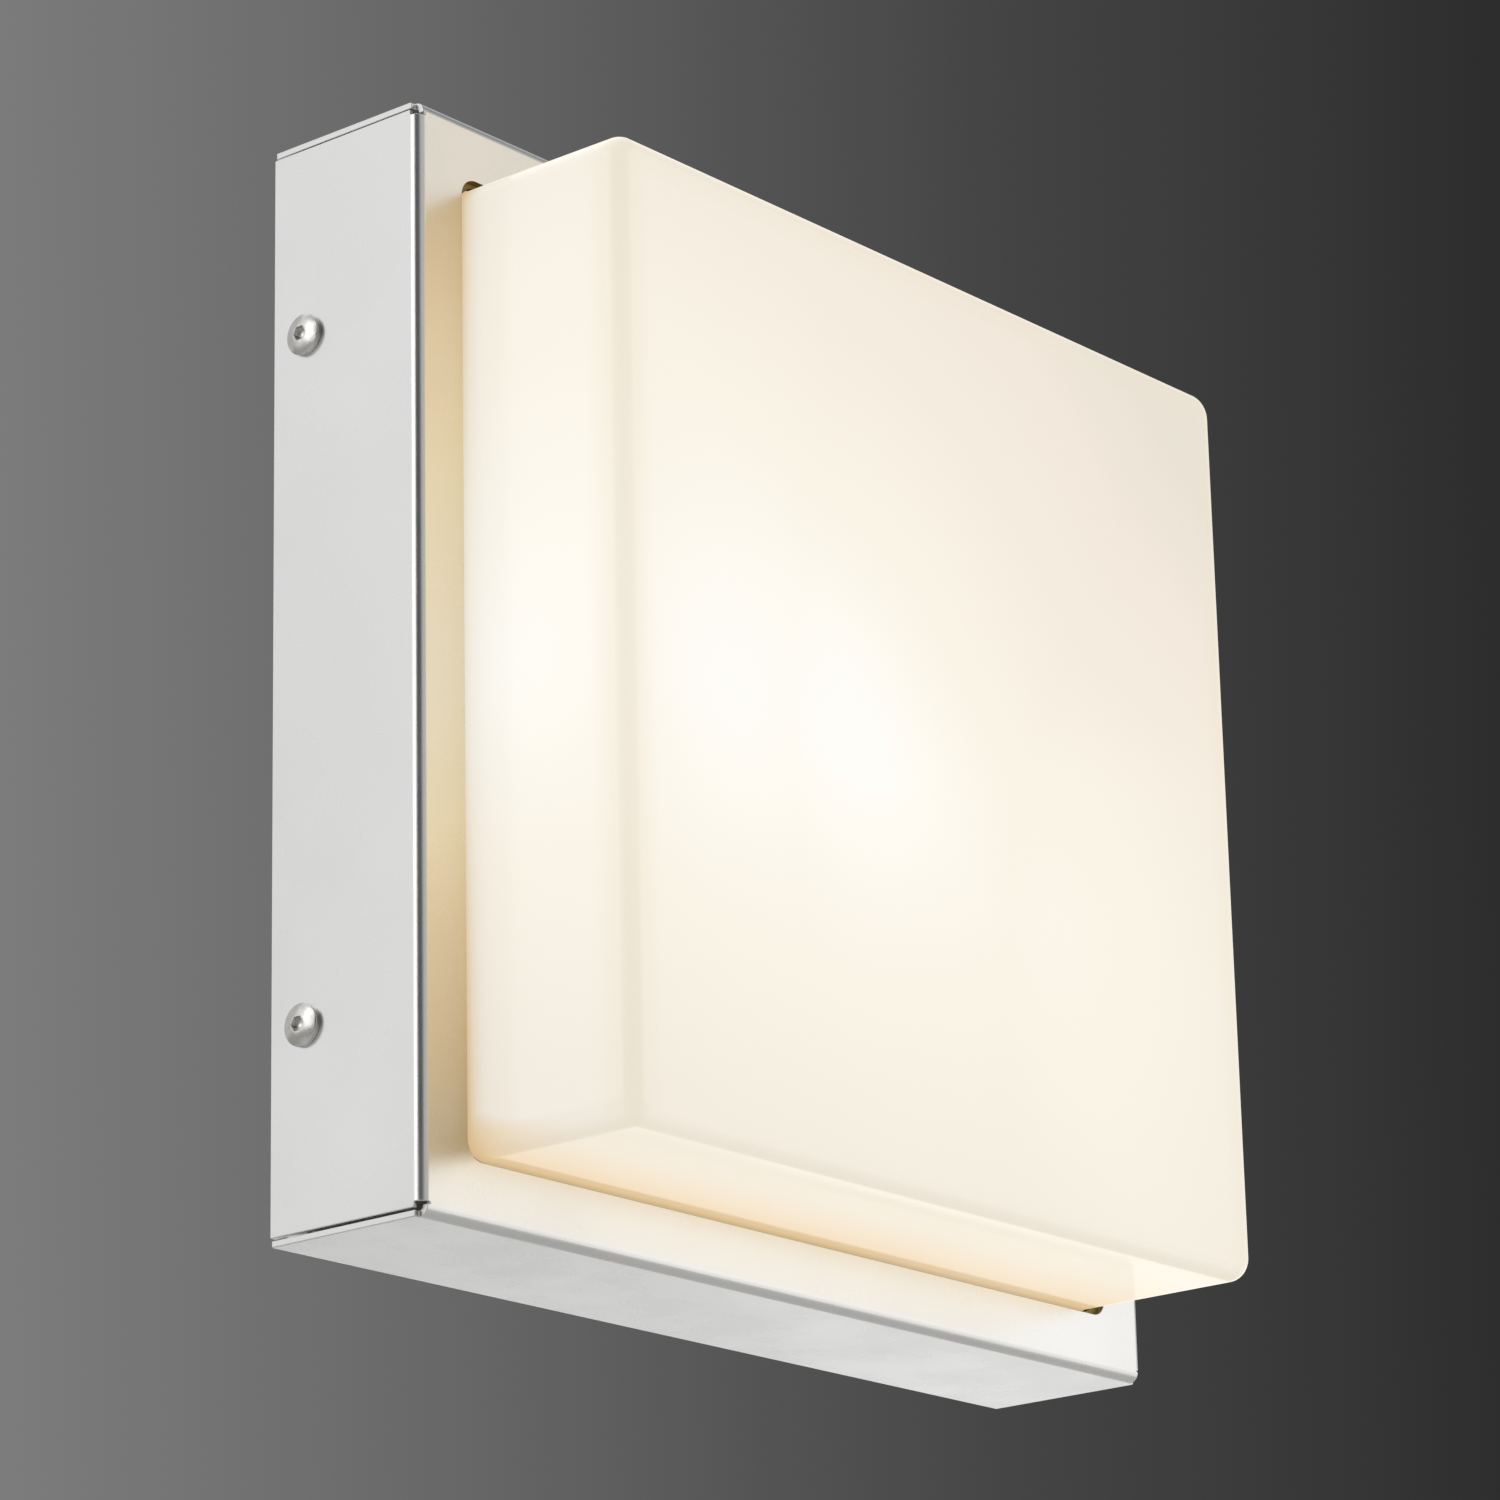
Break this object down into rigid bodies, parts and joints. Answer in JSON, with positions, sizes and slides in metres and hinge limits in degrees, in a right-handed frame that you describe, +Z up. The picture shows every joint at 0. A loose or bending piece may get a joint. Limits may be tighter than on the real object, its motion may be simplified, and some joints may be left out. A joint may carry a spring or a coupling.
{
  "type": "outdoor wall lantern",
  "caption": "Square outdoor wall light: an opal glass box in a folded satin steel cover that screws onto a wall plate with a lampholder and a lamp.",
  "frame": {"origin": "centre of the wall plate's rear face, on the wall", "axes": "+Z up, -Y out from the wall towards the viewer, +X to the right seen from the front"},
  "size_m": [0.2544, 0.089, 0.25],
  "materials": {
    "satin_steel": "satin",
    "opal_glass": "gloss",
    "silicone": "satin",
    "stainless": "satin",
    "zinc": "satin",
    "nickel": "satin",
    "brass": "satin",
    "porcelain": "gloss",
    "black_glass": "gloss",
    "white_plastic": "satin",
    "opal_plastic": "satin",
    "circuit_board": "matte",
    "terminal_plastic": "matte",
    "black_rubber": "matte",
    "brown_sleeve": "satin",
    "blue_sleeve": "satin",
    "green_yellow_sleeve": "satin"
  },
  "bodies": {
    "wall_base": {"back_plate": "satin_steel", "block_screw": "zinc", "earth_stud": "zinc", "earth_lug": "zinc", "earth_washer": "zinc", "earth_nut": "zinc", "lampholder_bracket": "zinc", "holder_screw_left": "zinc", "holder_screw_right": "zinc", "bracket_rivet_left": "nickel", "bracket_rivet_right": "nickel", "lampholder_shell": "brass", "lampholder_contact": "brass", "terminal_screw_1": "brass", "terminal_screw_2": "brass", "terminal_screw_3": "brass", "terminal_screw_4": "brass", "terminal_screw_5": "brass", "terminal_screw_6": "brass", "lampholder_body": "porcelain", "terminal_block": "terminal_plastic", "cable_grommet": "black_rubber", "live_wire": "brown_sleeve", "neutral_wire": "blue_sleeve", "earth_wire": "green_yellow_sleeve"},
    "cover": {"housing": "satin_steel", "glass_diffuser": "opal_glass", "glass_gasket": "silicone", "glass_clip_left": "stainless", "glass_clip_right": "stainless", "glass_clip_top": "stainless", "glass_clip_bottom": "stainless", "clip_stud_left": "zinc", "clip_stud_right": "zinc", "clip_stud_top": "zinc", "clip_stud_bottom": "zinc", "clip_nut_left": "zinc", "clip_nut_right": "zinc", "clip_nut_top": "zinc", "clip_nut_bottom": "zinc"},
    "lamp_contact": {"lamp_contact": "brass"},
    "lamp": {"lamp_insulator": "black_glass", "lamp_cap": "nickel", "lamp_collar": "white_plastic", "lamp_led_board": "circuit_board", "lamp_globe": "opal_plastic"},
    "screw_left_upper": {"cover_screw_left_upper": "stainless"},
    "nut_left_upper": {"clamp_nut_left_upper": "zinc"},
    "screw_left_lower": {"cover_screw_left_lower": "stainless"},
    "nut_left_lower": {"clamp_nut_left_lower": "zinc"},
    "screw_right_upper": {"cover_screw_right_upper": "stainless"},
    "nut_right_upper": {"clamp_nut_right_upper": "zinc"},
    "screw_right_lower": {"cover_screw_right_lower": "stainless"},
    "nut_right_lower": {"clamp_nut_right_lower": "zinc"}
  },
  "joints": [
    {"name": "cover_pull", "type": "slide", "parent": "wall_base", "child": "cover", "axis": [0, -1, 0], "range_m": [0, 0.14]},
    {"name": "screw_turn_left_upper", "type": "hinge", "parent": "cover", "child": "screw_left_upper", "pos_m": [-0.125, -0.0105, 0.0785], "axis": [-1, 0, 0], "range_deg": [0, 720]},
    {"name": "nut_travel_left_upper", "type": "slide", "parent": "cover", "child": "nut_left_upper", "axis": [1, 0, 0], "range_m": [0, 0.0016]},
    {"name": "screw_turn_left_lower", "type": "hinge", "parent": "cover", "child": "screw_left_lower", "pos_m": [-0.125, -0.0105, -0.0785], "axis": [-1, 0, 0], "range_deg": [0, 720]},
    {"name": "nut_travel_left_lower", "type": "slide", "parent": "cover", "child": "nut_left_lower", "axis": [1, 0, 0], "range_m": [0, 0.0016]},
    {"name": "screw_turn_right_upper", "type": "hinge", "parent": "cover", "child": "screw_right_upper", "pos_m": [0.125, -0.0105, 0.0785], "axis": [1, 0, 0], "range_deg": [0, 720]},
    {"name": "nut_travel_right_upper", "type": "slide", "parent": "cover", "child": "nut_right_upper", "axis": [-1, 0, 0], "range_m": [0, 0.0016]},
    {"name": "screw_turn_right_lower", "type": "hinge", "parent": "cover", "child": "screw_right_lower", "pos_m": [0.125, -0.0105, -0.0785], "axis": [1, 0, 0], "range_deg": [0, 720]},
    {"name": "nut_travel_right_lower", "type": "slide", "parent": "cover", "child": "nut_right_lower", "axis": [-1, 0, 0], "range_m": [0, 0.0016]},
    {"name": "lamp_travel", "type": "slide", "parent": "wall_base", "child": "lamp_contact", "axis": [-0.7071, 0, -0.7071], "range_m": [0, 0.0181]},
    {"name": "lamp_turn", "type": "hinge", "parent": "lamp_contact", "child": "lamp", "pos_m": [0, -0.046, 0], "axis": [-0.7071, 0, -0.7071], "range_deg": [0, 1800]}
  ],
  "couplings": [
    {"joint": "screw_turn_left_upper", "follows": "nut_travel_left_upper", "rad_per_m": 7854},
    {"joint": "screw_turn_left_lower", "follows": "nut_travel_left_lower", "rad_per_m": 7854},
    {"joint": "screw_turn_right_upper", "follows": "nut_travel_right_upper", "rad_per_m": 7854},
    {"joint": "screw_turn_right_lower", "follows": "nut_travel_right_lower", "rad_per_m": 7854},
    {"joint": "lamp_turn", "follows": "lamp_travel", "rad_per_m": 1735.7}
  ]
}
